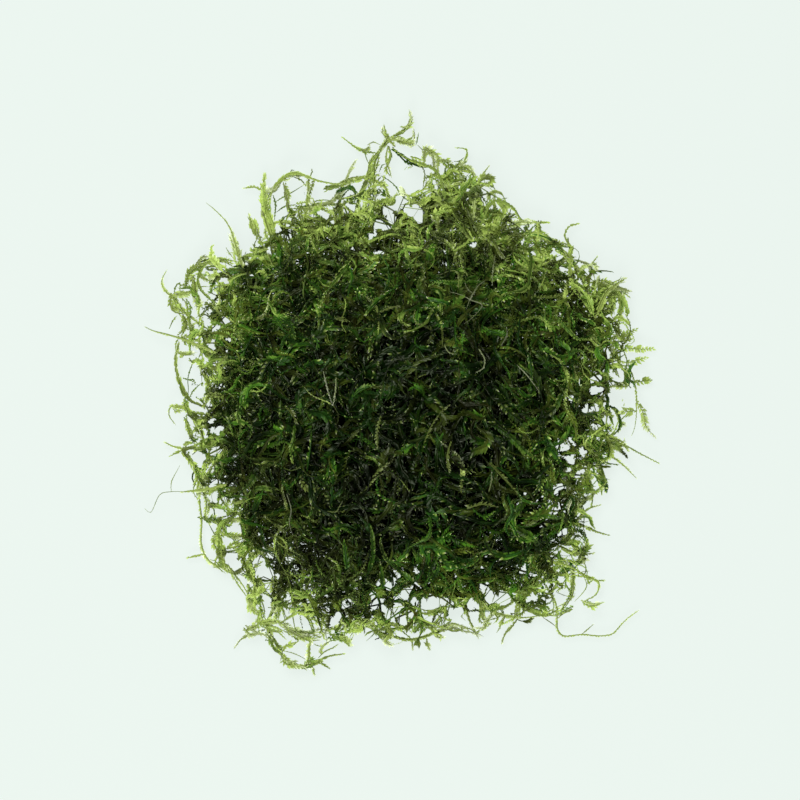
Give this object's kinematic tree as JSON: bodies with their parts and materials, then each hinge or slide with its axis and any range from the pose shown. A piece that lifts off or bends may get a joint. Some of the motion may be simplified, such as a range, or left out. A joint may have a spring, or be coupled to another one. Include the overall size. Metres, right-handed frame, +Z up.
{
  "type": "java moss clump",
  "caption": "Loose, roughly round clump of java moss lying on a surface: a thick tangle of leafy green shoots, thin at the rim, with stray shoots standing out all round.",
  "frame": {"origin": "on the surface that the clump lies on, below the middle of its whole length and width", "axes": "+Z up, and +Y towards what is the top of the picture, which looks straight down on the clump"},
  "size_m": [0.1037, 0.1129, 0.0275],
  "materials": {
    "moss": null,
    "shoot": null
  },
  "bodies": {
    "root": {"moss_tangle": "moss", "upper_left_hair": "shoot", "upper_left_bud": "shoot", "upper_left_tall_shoot": "shoot", "top_plume": "shoot", "top_arch": "shoot", "top_hook": "shoot", "top_right_twig": "shoot", "right_shoulder_arc": "shoot", "right_shoulder_hook": "shoot", "right_spur": "shoot", "right_claw": "shoot", "right_long_shoot": "shoot", "right_lower_hair": "shoot", "right_lower_spike": "shoot", "low_right_hook": "shoot", "low_right_spur": "shoot", "low_right_loop": "shoot", "lower_right_runner": "shoot", "bottom_right_garland": "shoot", "bottom_twig": "shoot", "bottom_garland": "shoot", "bottom_left_garland": "shoot", "left_long_stem": "shoot", "left_far_hair": "shoot", "left_tuft": "shoot", "left_curl": "shoot", "left_thick_shoot": "shoot", "left_hair": "shoot", "left_upper_shoot": "shoot", "upper_left_small_arch": "shoot"}
  },
  "joints": []
}
